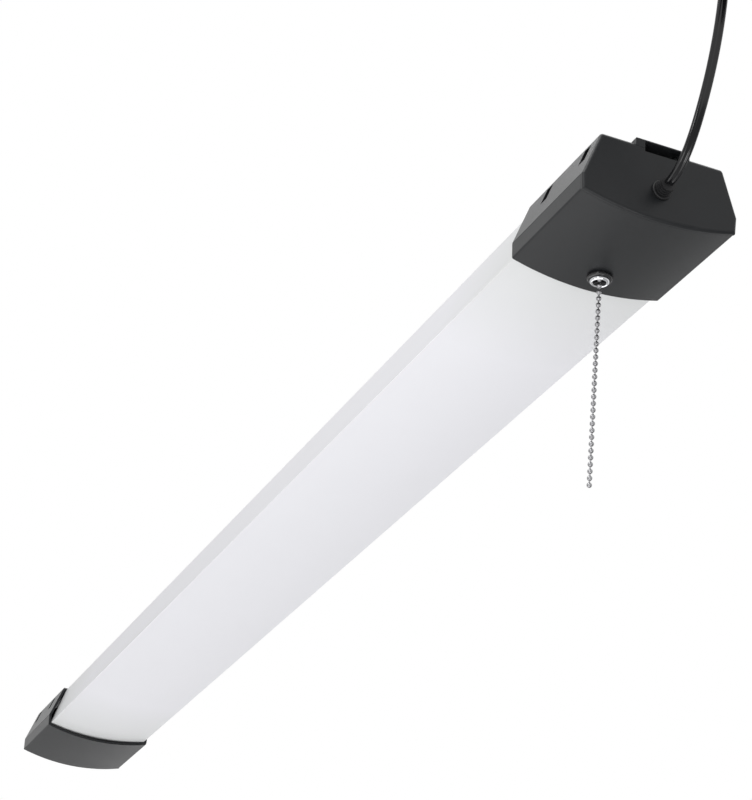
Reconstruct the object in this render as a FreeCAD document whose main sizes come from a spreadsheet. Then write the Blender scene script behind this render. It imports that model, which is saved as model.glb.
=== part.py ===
"""Four-foot hanging shop light: grey end housings, a wrap diffuser over two LED boards on a
steel tray, a pull-chain switch and a flat supply cord.

Frame: X runs along the length towards the cord end, Y across, Z up. The origin is the middle
of the tray's top face. Millimetres.
"""
import FreeCAD
import Part
import Sketcher
import math
import os

V = FreeCAD.Vector
doc = FreeCAD.newDocument("ShopLight")
sheet = doc.addObject("Spreadsheet::Sheet", "Sizes")


class Size:
    """A number together with the sheet expression that gives it."""

    def __init__(self, value, text):
        self.value = float(value)
        self.text = text

    @staticmethod
    def of(other):
        return other if isinstance(other, Size) else Size(other, repr(float(other)))

    def joined(self, other, sign, value):
        return Size(value, f"({self.text} {sign} {Size.of(other).text})")

    def __add__(self, other):
        return self.joined(other, "+", self.value + Size.of(other).value)

    def __sub__(self, other):
        return self.joined(other, "-", self.value - Size.of(other).value)

    def __mul__(self, other):
        return self.joined(other, "*", self.value * Size.of(other).value)

    def __truediv__(self, other):
        return self.joined(other, "/", self.value / Size.of(other).value)

    def __neg__(self):
        return Size(-self.value, f"(-{self.text})")

    def root(self):
        return Size(math.sqrt(self.value), f"sqrt({self.text})")


class SizeSheet:
    """Keeps the driving sizes on the document's sheet and hands each one back by its name."""

    def __init__(self):
        self.row = 0

    def take(self, names):
        """Enters every size written in capitals that isn't on the sheet yet."""
        for name, number in names.items():
            alias = name.lower()
            if not name.isupper() or type(number) not in (int, float) or hasattr(self, alias):
                continue
            self.row += 1
            sheet.set(f"A{self.row}", alias.replace("_", " "))
            sheet.set(f"B{self.row}", str(number))
            sheet.setAlias(f"B{self.row}", alias)
            setattr(self, alias, Size(number, f"Sizes.{alias}"))


s = SizeSheet()
nodes = []


def bind(thing, path, size):
    thing.setExpression(path, Size.of(size).text)


def place(piece, x, y, z):
    """Puts a piece's origin at x, y, z and enters it as a node."""
    for axis, where in zip("xyz", (x, y, z)):
        bind(piece, f"Placement.Base.{axis}", where)
    nodes.append(piece)
    return piece


def new_body(label):
    body = doc.addObject("PartDesign::Body", label)
    body.Label = label
    return body


def datum(body, role):
    return [part for part in body.Origin.OriginFeatures if part.Role == role][0]


def new_sketch(body, name, plane, offset=0):
    sketch = body.newObject("Sketcher::SketchObject", body.Name + "_" + name)
    sketch.AttachmentSupport = [(datum(body, plane), "")]
    sketch.MapMode = "FlatFace"
    shift = Size.of(offset)
    sketch.AttachmentOffset = FreeCAD.Placement(V(0, 0, shift.value), FreeCAD.Rotation())
    bind(sketch, "AttachmentOffset.Base.z", shift)
    return sketch


def point_rules(item, end, x, y):
    """Rules that hold one point of a sketch at x, y from the sketch's origin."""
    return [(Sketcher.Constraint(kind, -1, 1, item, end, Size.of(where).value), where)
            for kind, where in (("DistanceX", x), ("DistanceY", y))]


def set_rules(sketch, rules):
    """Adds constraints together, each with the size that drives it or None."""
    first = sketch.ConstraintCount
    sketch.addConstraint([rule for rule, size in rules])
    for number, (rule, size) in enumerate(rules, first):
        if size is not None:
            bind(sketch, f"Constraints[{number}]", size)


def arc_over(start, end, radius, rise):
    """The arc between two points whose middle lies rise to the right of the way it runs."""
    along = (end - start).normalize()
    right = V(along.y, -along.x, 0)
    side = 1 if rise > 0 else -1
    centre = (start + end) * 0.5 + right * (rise - side * radius)
    angles = [math.atan2(spot.y - centre.y, spot.x - centre.x) for spot in (start, end)]
    if side < 0:
        angles.reverse()
    if angles[1] < angles[0]:
        angles[1] += 2 * math.pi
    return Part.ArcOfCircle(Part.Circle(centre, V(0, 0, 1), radius), *angles)


def outline(sketch, corners, arcs=None):
    """Closes a loop through corners. arcs maps the number of a side to its radius and to the
    signed rise of its middle to the right of the way it runs."""
    arcs = arcs or {}
    first = sketch.GeometryCount
    spots = [V(Size.of(x).value, Size.of(y).value, 0) for x, y in corners]
    count = len(corners)
    ends = []
    for side in range(count):
        start, end = spots[side], spots[(side + 1) % count]
        if side in arcs:
            radius, rise = (size.value for size in arcs[side])
            sketch.addGeometry(arc_over(start, end, radius, rise), False)
            ends.append((1, 2) if rise > 0 else (2, 1))
        else:
            sketch.addGeometry(Part.LineSegment(start, end), False)
            ends.append((1, 2))
    rules = []
    for side in range(count):
        after = (side + 1) % count
        rules.append((Sketcher.Constraint(
            "Coincident", first + side, ends[side][1], first + after, ends[after][0]), None))
        rules += point_rules(first + side, ends[side][0], *corners[side])
        if side in arcs:
            radius = arcs[side][0]
            rules.append((Sketcher.Constraint("Radius", first + side, radius.value), radius))
    set_rules(sketch, rules)
    return sketch


def rectangle(sketch, x0, y0, x1, y1):
    return outline(sketch, [(x0, y0), (x1, y0), (x1, y1), (x0, y1)])


def circles(sketch, radius, centres):
    for x, y in centres:
        middle = V(Size.of(x).value, Size.of(y).value, 0)
        item = sketch.addGeometry(Part.Circle(middle, V(0, 0, 1), Size.of(radius).value), False)
        set_rules(sketch, point_rules(item, 3, x, y) + [
            (Sketcher.Constraint("Radius", item, Size.of(radius).value), radius)])
    return sketch


def polygons(sketch, radius, centres, sides=8):
    """Outlines with their corners at radius, for round things that stay out of sight."""
    turns = [math.pi * (2 * corner + 1) / sides for corner in range(sides)]
    for x, y in centres:
        outline(sketch, [(Size.of(x) + Size.of(radius) * math.cos(turn),
                          Size.of(y) + Size.of(radius) * math.sin(turn)) for turn in turns])
    return sketch


def feature(body, kind, sketch, length, back=False, both=False):
    """A pad or pocket of a sketch. back turns it against the sketch's own direction."""
    made = body.newObject("PartDesign::" + kind, sketch.Name + "_" + kind)
    made.Profile = sketch
    bind(made, "Length", length)
    made.Midplane = both
    made.Reversed = back
    sketch.Visibility = False
    return made


def revolve(body, sketch, axis):
    made = body.newObject("PartDesign::Revolution", sketch.Name + "_turned")
    made.Profile = sketch
    made.ReferenceAxis = (sketch, [axis])
    made.Angle = 360
    return made


def row_of(body, originals, axis, length, count):
    """Repeats features, or the whole body when none is named, count times over length."""
    if not originals:
        body.Tip.recompute(True)
    made = body.newObject("PartDesign::LinearPattern", body.Name + "_row")
    if originals:
        made.Originals = originals
    else:
        made.TransformMode = "Whole shape"
    made.Direction = (datum(body, axis), [""])
    bind(made, "Length", length)
    bind(made, "Occurrences", count)
    body.Tip = made
    return made


def edges_of(body, wanted):
    """The body's last feature and those of its edges that wanted picks by their end points."""
    body.Tip.recompute(True)
    return body.Tip, [f"Edge{number}" for number, edge in enumerate(body.Tip.Shape.Edges, 1)
                      if wanted([vertex.Point for vertex in edge.Vertexes])]


def rounded(body, name, radius, wanted):
    picked = edges_of(body, wanted)
    made = body.newObject("PartDesign::Fillet", body.Name + "_" + name)
    made.Base = picked
    bind(made, "Radius", radius)
    return made


def bevelled(body, name, size, wanted):
    picked = edges_of(body, wanted)
    made = body.newObject("PartDesign::Chamfer", body.Name + "_" + name)
    made.Base = picked
    bind(made, "Size", size)
    return made


def block(label, x, y, z, length, width, height):
    """A plain block from its low corner, not yet a node."""
    piece = doc.addObject("Part::Box", label)
    piece.Label = label
    for path, size in zip(("Length", "Width", "Height"), (length, width, height)):
        bind(piece, path, size)
    for axis, where in zip("xyz", (x, y, z)):
        bind(piece, f"Placement.Base.{axis}", where)
    return piece


def rod(label, x, y, z, radius, length, turn=None):
    """A plain round rod that starts at x, y, z and runs up, or along turn's turned axis."""
    piece = doc.addObject("Part::Cylinder", label)
    piece.Label = label
    bind(piece, "Radius", radius)
    bind(piece, "Height", length)
    if turn:
        piece.Placement = FreeCAD.Placement(V(), FreeCAD.Rotation(V(*turn[0]), turn[1]))
    for axis, where in zip("xyz", (x, y, z)):
        bind(piece, f"Placement.Base.{axis}", where)
    return piece


def node_of(label, kind, **links):
    """A node made by a boolean or a compound of plain shapes."""
    piece = doc.addObject(kind, label)
    piece.Label = label
    for name, value in links.items():
        setattr(piece, name, value)
    nodes.append(piece)
    return piece


def solid_node(label, shape):
    """A node whose shape is worked out from a path."""
    piece = doc.addObject("Part::Feature", label)
    piece.Label = label
    piece.Shape = shape
    piece.Placement = FreeCAD.Placement()
    nodes.append(piece)
    return piece


def near(vertex, axis, value):
    return abs(getattr(vertex, axis) - Size.of(value).value) < 1e-3


# --- overall sizes -----------------------------------------------------------------------
TOTAL_LENGTH = 1219
HOUSING_LENGTH = 93
SEAM_WIDTH = 100
BASE_WIDTH = 99
TOP_WIDTH = 79
HOUSING_HEIGHT = 40.5
SEAM_HEIGHT = 10.3
CROWN_DROP = 7
TRAY_DROP = 3.9
SHELL_WALL = 2.2
END_WALL = 3
SEAM_GAP = 0.3
FIT_GAP = 0.15
CORNER_ROUND = 3
END_ROUND = 2
BASE_ROUND = 1.5
s.take(globals())
half = s.total_length / 2
mouth = half - s.housing_length
top_z = s.tray_drop
base_z = s.tray_drop - s.housing_height
seam_z = base_z + s.seam_height
bottom_z = base_z - s.crown_drop
seam_y = s.seam_width / 2
top_y = s.top_width / 2
base_y = s.base_width / 2
side_slope = (seam_y - top_y) / (top_z - seam_z)
side_wall = s.shell_wall * (side_slope * side_slope + 1).root()
ceiling_z = top_z - s.shell_wall
floor_z = bottom_z + s.shell_wall


def crown_radius(half_width, drop):
    return (half_width * half_width + drop * drop) / (drop * 2)


def shell_inner_y(z):
    """Half the clear width between the upper shell's sloped walls at height z."""
    return seam_y - side_slope * (z - seam_z) - side_wall


# --- screws and the hook slot, shared by the housings and the tray -------------------------
CASE_SCREW_MOUTH = 14
CASE_SCREW_PITCH = 48
CASE_SCREW_Y = 30
CASE_SCREW_RADIUS = 1.6
SCREW_GAP = 0.05
SCREW_HOLE_GAP = 0.2
SCREW_HEAD_RADIUS = 3.1
SCREW_HEAD_HEIGHT = 1.9
SCREW_HEAD_SINK = 1.0
CASE_SCREW_LENGTH = 16
BOSS_RADIUS = 4
POST_RADIUS = 3.5
HOOK_BRIDGE_WIDTH = 35
HOOK_BRIDGE_LENGTH = 10
HOOK_BRIDGE_RISE = 4
HOOK_BRIDGE_ROUND = 1.2
HOOK_SLOT_WIDTH = 23
HOOK_SLOT_LOW = 4.3
HOOK_SLOT_HIGH = 2.6
HOOK_WELL_LENGTH = 8.4
HOOK_WALL = 1.6
WINDOW_LENGTH = 8
WINDOW_HEIGHT = 11.6
WINDOW_LOW = 25.5
WINDOW_FIRST = 29.3
WINDOW_SECOND = 78.5
CORD_HEIGHT = 13
RELIEF_HOLE_RADIUS = 5.5
s.take(globals())
cord_z = base_z + s.cord_height
screw_rows = (s.case_screw_mouth, s.case_screw_mouth + s.case_screw_pitch)
screw_spots = [(x, y) for x in screw_rows for y in (s.case_screw_y, -s.case_screw_y)]


def upper_shell(label, side, cord_hole):
    """Moulded upper half: roof, sloped sides and the whole end wall, with a hook bridge over
    a walled slot, side windows and four screw bosses. Built from the mouth at x = 0."""
    body = new_body(label)
    length = s.housing_length
    casing = outline(new_sketch(body, "casing", "YZ_Plane"), [
        (seam_y, seam_z), (top_y, top_z), (-top_y, top_z), (-seam_y, seam_z)])
    feature(body, "Pad", casing, length)
    wall = outline(new_sketch(body, "wall", "YZ_Plane", length - s.end_wall), [
        (seam_y, seam_z), (top_y, top_z), (-top_y, top_z), (-seam_y, seam_z),
        (-base_y, base_z), (base_y, base_z)],
        {4: (crown_radius(base_y, s.crown_drop), s.crown_drop)})
    feature(body, "Pad", wall, s.end_wall)
    rounded(body, "roof_round", s.corner_round, lambda ends: all(
        near(end, "z", top_z) and abs(abs(end.y) - top_y.value) < 1e-3 for end in ends))
    rounded(body, "end_round", s.end_round, lambda ends: all(
        near(end, "x", length) for end in ends))
    hollow = outline(new_sketch(body, "hollow", "YZ_Plane"), [
        (shell_inner_y(seam_z - 2), seam_z - 2), (shell_inner_y(ceiling_z), ceiling_z),
        (-shell_inner_y(ceiling_z), ceiling_z), (-shell_inner_y(seam_z - 2), seam_z - 2)])
    feature(body, "Pocket", hollow, length - s.end_wall, back=True)
    windows = new_sketch(body, "windows", "XZ_Plane")
    for centre in (s.window_first, s.window_second):
        rectangle(windows, centre - s.window_length / 2, base_z + s.window_low,
                  centre + s.window_length / 2, base_z + s.window_low + s.window_height)
    feature(body, "Pocket", windows, s.seam_width * 2, both=True)
    bridge = new_sketch(body, "bridge", "XY_Plane", ceiling_z)
    rectangle(bridge, length - s.hook_bridge_length, -s.hook_bridge_width / 2,
              length, s.hook_bridge_width / 2)
    feature(body, "Pad", bridge, s.shell_wall + s.hook_bridge_rise)
    rounded(body, "bridge_round", s.hook_bridge_round, lambda ends: all(
        near(end, "z", top_z + s.hook_bridge_rise) for end in ends))
    slot_end = length - s.hook_bridge_length - s.hook_well_length
    slot_y = s.hook_slot_width / 2
    slot_z = top_z - s.hook_slot_low
    trough = new_sketch(body, "trough", "XY_Plane", slot_z - s.hook_wall)
    rectangle(trough, slot_end - s.hook_wall, -slot_y - s.hook_wall,
              length - s.end_wall / 2, slot_y + s.hook_wall)
    feature(body, "Pad", trough, ceiling_z - slot_z + s.hook_wall + s.shell_wall / 2)
    well = new_sketch(body, "well", "XY_Plane", slot_z)
    rectangle(well, slot_end, -slot_y, length - s.hook_bridge_length, slot_y)
    feature(body, "Pocket", well, s.hook_slot_low * 2, back=True)
    slot = new_sketch(body, "slot", "YZ_Plane", length + 1)
    rectangle(slot, -slot_y, slot_z, slot_y, top_z + s.hook_slot_high)
    feature(body, "Pocket", slot, s.hook_bridge_length + s.hook_well_length / 2)
    bosses = polygons(new_sketch(body, "bosses", "XY_Plane", s.fit_gap), s.boss_radius,
                      screw_spots)
    feature(body, "Pad", bosses, ceiling_z - s.fit_gap + s.shell_wall / 2)
    holes = polygons(new_sketch(body, "holes", "XY_Plane"),
                     s.case_screw_radius + s.screw_hole_gap, screw_spots)
    feature(body, "Pocket", holes, top_z * 2, back=True)
    sinks = polygons(new_sketch(body, "sinks", "XY_Plane", top_z - s.screw_head_sink),
                     s.screw_head_radius + s.screw_hole_gap * 2, screw_spots, 12)
    feature(body, "Pocket", sinks, s.screw_head_sink * 2, back=True)
    if cord_hole:
        hole = circles(new_sketch(body, "cord_hole", "YZ_Plane", length + 1),
                       s.relief_hole_radius, [(0, cord_z)])
        feature(body, "Pocket", hole, s.end_wall + 2)
    return face_along(body, side)


def face_along(body, side):
    """Stands a housing piece at its end of the light, its end wall outwards."""
    if side < 0:
        body.Placement = FreeCAD.Placement(V(), FreeCAD.Rotation(V(0, 0, 1), 180))
    return place(body, mouth * side, 0, 0)


LIP_THICKNESS = 1.2
LIP_RISE = 2
LIP_DEPTH = 1.9
LIP_START = 8
SWITCH_FROM_END = 74.4
NIPPLE_RADIUS = 4.75
THREAD_GAP = 0.1
s.take(globals())
chain_x = half - s.switch_from_end


def lower_cover(label, side, switch_hole):
    """Moulded lower half: a crowned floor and low sides, with a lip that locates in the upper
    shell and four screw posts. Built from the mouth at x = 0."""
    body = new_body(label)
    length = s.housing_length - s.end_wall - s.fit_gap
    edge_z = seam_z - s.seam_gap
    casing = outline(new_sketch(body, "casing", "YZ_Plane"), [
        (-base_y, base_z), (base_y, base_z), (seam_y, edge_z), (-seam_y, edge_z)],
        {0: (crown_radius(base_y, s.crown_drop), s.crown_drop)})
    feature(body, "Pad", casing, length)
    rounded(body, "base_round", s.base_round, lambda ends: len(ends) == 2 and all(
        near(end, "z", base_z) for end in ends) and near(ends[0], "y", ends[1].y))
    inner_y = base_y - s.shell_wall
    hollow = outline(new_sketch(body, "hollow", "YZ_Plane"), [
        (-inner_y, base_z + s.shell_wall), (inner_y, base_z + s.shell_wall),
        (seam_y - s.shell_wall, edge_z + 1), (s.shell_wall - seam_y, edge_z + 1)],
        {0: (crown_radius(inner_y, s.crown_drop), s.crown_drop)})
    feature(body, "Pocket", hollow, length, back=True)
    lip_y = shell_inner_y(edge_z + s.lip_rise) - s.fit_gap
    lips = new_sketch(body, "lips", "YZ_Plane", s.lip_start)
    for sign in (1, -1):
        outline(lips, [(lip_y * sign, edge_z + s.lip_rise),
                       ((lip_y - s.lip_thickness) * sign, edge_z + s.lip_rise),
                       ((lip_y - s.lip_thickness) * sign, edge_z - s.lip_depth),
                       ((seam_y - s.shell_wall / 2) * sign, edge_z - s.lip_depth),
                       ((seam_y - s.shell_wall / 2) * sign, edge_z),
                       (lip_y * sign, edge_z)])
    feature(body, "Pad", lips, length - s.lip_start)
    posts = polygons(new_sketch(body, "posts", "XY_Plane", -s.tray_sheet - s.fit_gap),
                     s.post_radius, screw_spots)
    feature(body, "Pad", posts, s.post_height, back=True)
    pilots = polygons(new_sketch(body, "pilots", "XY_Plane"),
                      s.case_screw_radius + s.screw_gap, screw_spots)
    feature(body, "Pocket", pilots, s.case_screw_length)
    if switch_hole:
        hole = polygons(new_sketch(body, "switch_hole", "XY_Plane", floor_z + 1),
                        s.nipple_radius + s.thread_gap * 2,
                        [(s.housing_length - s.switch_from_end, 0)])
        feature(body, "Pocket", hole, s.shell_wall + 3)
    return face_along(body, side)


TRAY_SHEET = 0.7
POST_HEIGHT = 37.2
s.take(globals())
upper_shell("near_upper_shell", 1, True)
upper_shell("far_upper_shell", -1, False)
lower_cover("near_lower_cover", 1, True)
lower_cover("far_lower_cover", -1, False)


def case_screws(label, side):
    """Four pan-head screws that clamp upper shell, tray and lower cover together."""
    body = new_body(label)
    seat = top_z - s.screw_head_sink
    shanks = polygons(new_sketch(body, "shanks", "XY_Plane", seat), s.case_screw_radius,
                      screw_spots)
    feature(body, "Pad", shanks, s.case_screw_length - s.screw_head_height, back=True)
    heads = polygons(new_sketch(body, "heads", "XY_Plane", seat), s.screw_head_radius,
                     screw_spots)
    feature(body, "Pad", heads, s.screw_head_height)
    return face_along(body, side)


case_screws("near_case_screws", 1)
case_screws("far_case_screws", -1)

# --- tray, diffuser and light boards ---------------------------------------------------------
TRAY_END_INSET = 20.6
TRAY_HALF_WIDTH = 35.2
TRAY_FLANGE = 8
DIFFUSER_ENTRY = 6
DIFFUSER_WALL = 1.5
DIFFUSER_TOP_WIDTH = 73.6
DIFFUSER_BASE_WIDTH = 93.8
DIFFUSER_LIP = 8
DIFFUSER_BASE_RISE = 2.6
DIFFUSER_CROWN = 5.3
LIP_GAP = 0.05
s.take(globals())
diffuser_roof = s.diffuser_wall + s.lip_gap
diffuser_base = base_z + s.diffuser_base_rise
wrap_slope = (s.diffuser_base_width - s.diffuser_top_width) / 2 / (diffuser_roof - diffuser_base)
wrap_wall = s.diffuser_wall * (wrap_slope * wrap_slope + 1).root()

tray = new_body("back_tray")
tray_y = s.tray_half_width
flange_y = tray_y + wrap_slope * s.tray_flange
profile = outline(new_sketch(tray, "profile", "YZ_Plane"), [
    (-flange_y, -s.tray_flange), (-tray_y, 0), (tray_y, 0), (flange_y, -s.tray_flange),
    (flange_y - s.tray_sheet, -s.tray_flange), (tray_y - s.tray_sheet, -s.tray_sheet),
    (s.tray_sheet - tray_y, -s.tray_sheet), (s.tray_sheet - flange_y, -s.tray_flange)])
feature(tray, "Pad", profile, s.total_length - s.tray_end_inset * 2, both=True)
holes = new_sketch(tray, "case_holes", "XY_Plane")
for end in (1, -1):
    polygons(holes, s.case_screw_radius + s.screw_hole_gap,
             [((mouth + x) * end, y) for x, y in screw_spots])
feature(tray, "Pocket", holes, s.tray_sheet * 4, both=True)

BOARD_END_GAP = 1.5
BOARD_WIDTH = 20
BOARD_THICKNESS = 1.2
BOARD_Y = 16
SEAT_GAP = 0.05
RIVET_COUNT = 3
RIVET_END = 35
RIVET_Y = 23.5
RIVET_RADIUS = 1.5
RIVET_HEAD_RADIUS = 2.3
RIVET_HEAD_HEIGHT = 1
CHIP_COUNT = 29
CHIP_END = 11
CHIP_LENGTH = 3.5
CHIP_WIDTH = 2.8
CHIP_HEIGHT = 0.7
s.take(globals())
board_end = mouth - s.board_end_gap
rivet_far = board_end - s.rivet_end
chip_far = board_end - s.chip_end
rivet_ends = [(-rivet_far, s.rivet_y), (-rivet_far, -s.rivet_y)]
rivet_holes = polygons(new_sketch(tray, "rivet_holes", "XY_Plane"), s.rivet_radius + s.seat_gap,
                       rivet_ends)
pocket = feature(tray, "Pocket", rivet_holes, s.tray_sheet * 4, both=True)
row_of(tray, [pocket], "X_Axis", rivet_far * 2, s.rivet_count)
place(tray, 0, 0, 0)

diffuser = new_body("diffuser")
low_y = s.diffuser_base_width / 2
high_y = s.diffuser_top_width / 2
roof_under = diffuser_roof - s.diffuser_wall
in_high_y = high_y - wrap_wall + wrap_slope * s.diffuser_wall
in_base = diffuser_base + s.diffuser_wall * 0.4
in_low_y = in_high_y + wrap_slope * (roof_under - in_base)
wrap = outline(new_sketch(diffuser, "wrap", "YZ_Plane"), [
    (-low_y, diffuser_base), (low_y, diffuser_base), (high_y, diffuser_roof),
    (high_y - s.diffuser_lip, diffuser_roof), (high_y - s.diffuser_lip, roof_under),
    (in_high_y, roof_under), (in_low_y, in_base), (-in_low_y, in_base),
    (-in_high_y, roof_under), (s.diffuser_lip - high_y, roof_under),
    (s.diffuser_lip - high_y, diffuser_roof), (-high_y, diffuser_roof)],
    {0: (crown_radius(low_y, s.diffuser_crown), s.diffuser_crown),
     6: (crown_radius(in_low_y, s.diffuser_crown - s.diffuser_wall * 0.6),
         -(s.diffuser_crown - s.diffuser_wall * 0.6))})
feature(diffuser, "Pad", wrap, (mouth + s.diffuser_entry) * 2, both=True)
place(diffuser, 0, 0, 0)

board_top = -s.tray_sheet - s.seat_gap
chip_top = board_top - s.board_thickness - s.seat_gap / 5
for name, sign in (("left", -1), ("right", 1)):
    board = new_body(f"led_board_{name}")
    plan = rectangle(new_sketch(board, "plan", "XY_Plane"), -board_end,
                     (s.board_y - s.board_width / 2) * sign, board_end,
                     (s.board_y + s.board_width / 2) * sign)
    feature(board, "Pad", plan, s.board_thickness, back=True)
    hole = polygons(new_sketch(board, "rivet_hole", "XY_Plane"), s.rivet_radius + s.seat_gap,
                    [(-rivet_far, s.rivet_y * sign)])
    pocket = feature(board, "Pocket", hole, s.board_thickness * 4, both=True)
    row_of(board, [pocket], "X_Axis", rivet_far * 2, s.rivet_count)
    place(board, 0, 0, board_top)
    chips = new_body(f"led_chips_{name}")
    plan = rectangle(new_sketch(chips, "plan", "XY_Plane"),
                     -chip_far - s.chip_length / 2, (s.board_y - s.chip_width / 2) * sign,
                     -chip_far + s.chip_length / 2, (s.board_y + s.chip_width / 2) * sign)
    pad = feature(chips, "Pad", plan, s.chip_height, back=True)
    row_of(chips, [pad], "X_Axis", chip_far * 2, s.chip_count)
    place(chips, 0, 0, chip_top)

rivets = new_body("board_rivets")
head_top = board_top - s.board_thickness - s.seat_gap / 5
shanks = polygons(new_sketch(rivets, "shanks", "XY_Plane", head_top - s.rivet_head_height / 2),
                  s.rivet_radius, rivet_ends)
shanks_pad = feature(rivets, "Pad", shanks, -head_top + s.rivet_head_height / 2)
heads = polygons(new_sketch(rivets, "heads", "XY_Plane", head_top), s.rivet_head_radius,
                 rivet_ends)
heads_pad = feature(rivets, "Pad", heads, s.rivet_head_height, back=True)
row_of(rivets, [shanks_pad, heads_pad], "X_Axis", rivet_far * 2, s.rivet_count)
place(rivets, 0, 0, 0)

# --- driver: a board on standoffs under the tray, in the near housing -------------------------
DRIVER_START = 34
DRIVER_LENGTH = 38
DRIVER_WIDTH = 46
DRIVER_DROP = 8.3
DRIVER_SHEET = 1.6
STANDOFF_INSET = 3
STANDOFF_RADIUS = 2
INSULATOR_SHEET = 0.3
INSULATOR_MARGIN = 0.3
s.take(globals())
driver_x = mouth + s.driver_start
driver_top = -s.tray_sheet - s.driver_drop
driver_under = driver_top - s.driver_sheet
driver_y = s.driver_width / 2
standoff_spots = [(driver_x + x, y) for x in (s.standoff_inset, s.driver_length - s.standoff_inset)
                  for y in (driver_y - s.standoff_inset, s.standoff_inset - driver_y)]

board = new_body("driver_board")
plan = rectangle(new_sketch(board, "plan", "XY_Plane"), driver_x, -driver_y,
                 driver_x + s.driver_length, driver_y)
feature(board, "Pad", plan, s.driver_sheet, back=True)
place(board, 0, 0, driver_top)

standoffs = new_body("driver_standoffs")
barrels = polygons(new_sketch(standoffs, "barrels", "XY_Plane", -s.tray_sheet - s.seat_gap),
                   s.standoff_radius, standoff_spots)
feature(standoffs, "Pad", barrels, s.driver_drop - s.seat_gap * 2, back=True)
place(standoffs, 0, 0, 0)

insulator = new_body("driver_insulator")
plan = rectangle(new_sketch(insulator, "plan", "XY_Plane"), driver_x - s.insulator_margin,
                 -driver_y - s.insulator_margin, driver_x + s.driver_length + s.insulator_margin,
                 driver_y + s.insulator_margin)
feature(insulator, "Pad", plan, s.insulator_sheet, back=True)
holes = polygons(new_sketch(insulator, "holes", "XY_Plane"), s.standoff_radius + s.seat_gap * 2,
                 standoff_spots)
feature(insulator, "Pocket", holes, s.insulator_sheet * 4, both=True)
place(insulator, 0, 0, -s.tray_sheet - s.seat_gap)

CAPACITOR_RADIUS = 6.2
CAPACITOR_LENGTH = 20
CAPACITOR_X = 30
CAPACITOR_Y = -12
TRANSFORMER_X = 20
TRANSFORMER_Y = 7
TRANSFORMER_LENGTH = 16
TRANSFORMER_WIDTH = 14
TRANSFORMER_HEIGHT = 13
CORE_LENGTH = 7
CORE_MARGIN = 2.5
CHOKE_RADIUS = 5
CHOKE_HEIGHT = 8
CHOKE_X = 10
CHOKE_Y = -11
FILM_LENGTH = 5
FILM_WIDTH = 11
FILM_HEIGHT = 9
FILM_X = 31
FILM_Y = 1
TERMINAL_LENGTH = 8
TERMINAL_WIDTH = 11
TERMINAL_HEIGHT = 9
TERMINAL_Y = 13
CONNECTOR_LENGTH = 6
CONNECTOR_WIDTH = 8
CONNECTOR_HEIGHT = 7
CONNECTOR_X = 8
CONNECTOR_Y = 6
PART_GAP = 0.1
s.take(globals())
under = driver_under - s.part_gap


def can(label, x, y, radius, height):
    """A component's round can, twelve-sided, hung under the driver board."""
    body = new_body(label)
    plan = polygons(new_sketch(body, "plan", "XY_Plane"), radius, [(0, 0)], 12)
    feature(body, "Pad", plan, height, back=True)
    return place(body, driver_x + x, y, under)


can("driver_capacitor", s.capacitor_x, s.capacitor_y, s.capacitor_radius, s.capacitor_length)
can("driver_choke", s.choke_x, s.choke_y, s.choke_radius, s.choke_height)


def hung_block(label, x, y, length, width, height):
    """A component's block centred on x, y and hung under the driver board."""
    return block(label, driver_x + x - length / 2, y - width / 2, under - height,
                 length, width, height)


core = hung_block("transformer_core", s.transformer_x, s.transformer_y, s.core_length,
                  s.transformer_width + s.core_margin * 2, s.transformer_height)
bobbin = hung_block("transformer_bobbin", s.transformer_x, s.transformer_y,
                    s.transformer_length, s.transformer_width,
                    s.transformer_height - s.core_margin)
node_of("driver_transformer", "Part::Fuse", Base=core, Tool=bobbin)
nodes.append(hung_block("film_capacitor", s.film_x, s.film_y, s.film_length, s.film_width,
                        s.film_height))
terminal_x = s.driver_length - s.terminal_length / 2
nodes.append(hung_block("supply_terminal", terminal_x, s.terminal_y, s.terminal_length,
                        s.terminal_width, s.terminal_height))
nodes.append(hung_block("led_connector", s.connector_x, s.connector_y,
                        s.connector_length, s.connector_width, s.connector_height))

# --- pull-chain switch --------------------------------------------------------------------
BEAD_RADIUS = 1.6
BEAD_PITCH = 4.35
LINK_RADIUS = 0.5
LINK_GAP = 0.05
NUT_RADIUS = 7.75
NUT_HEIGHT = 2.6
FERRULE_HEIGHT = 2
FERRULE_RADIUS = 6
FERRULE_SHANK = 3.7
FERRULE_BORE = 2.2
FERRULE_MOUTH = 4.6
BEADS_TO_DRUM = 5
DRUM_RADIUS = 5.2
DRUM_FLANGE = 7
DRUM_HALF_WIDTH = 3.7
DRUM_FLANGE_WIDTH = 1
DRUM_GROOVE = 3.8
BOSS_REACH = 4.2
HUB_RADIUS = 2.6
AXLE_RADIUS = 1
RUNNING_GAP = 0.05
s.take(globals())
nut_top = bottom_z - s.seat_gap
nut_bottom = nut_top - s.nut_height
ferrule_top = nut_bottom - s.seat_gap
ferrule_bottom = ferrule_top - s.ferrule_height
pivot_z = ferrule_bottom - s.bead_radius - s.link_gap
drum_x = chain_x + s.drum_radius
drum_z = pivot_z + s.beads_to_drum * s.bead_pitch
BASE_LEFT = 6.2
BASE_RIGHT = 9.2
BASE_HALF_DEPTH = 10.2
BASE_LIFT = 0.5
BASE_CAP = 9.5
BASE_WALL = 1.5
AXLE_SEAT = 1
COVER_SHEET = 1.5
BASE_WINDOW = 7.6
s.take(globals())
base_bottom = floor_z + s.base_lift
base_top = drum_z + s.base_cap
base_x = chain_x - s.base_left
base_length = s.base_left + s.drum_radius + s.base_right
depth = s.base_half_depth

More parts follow.
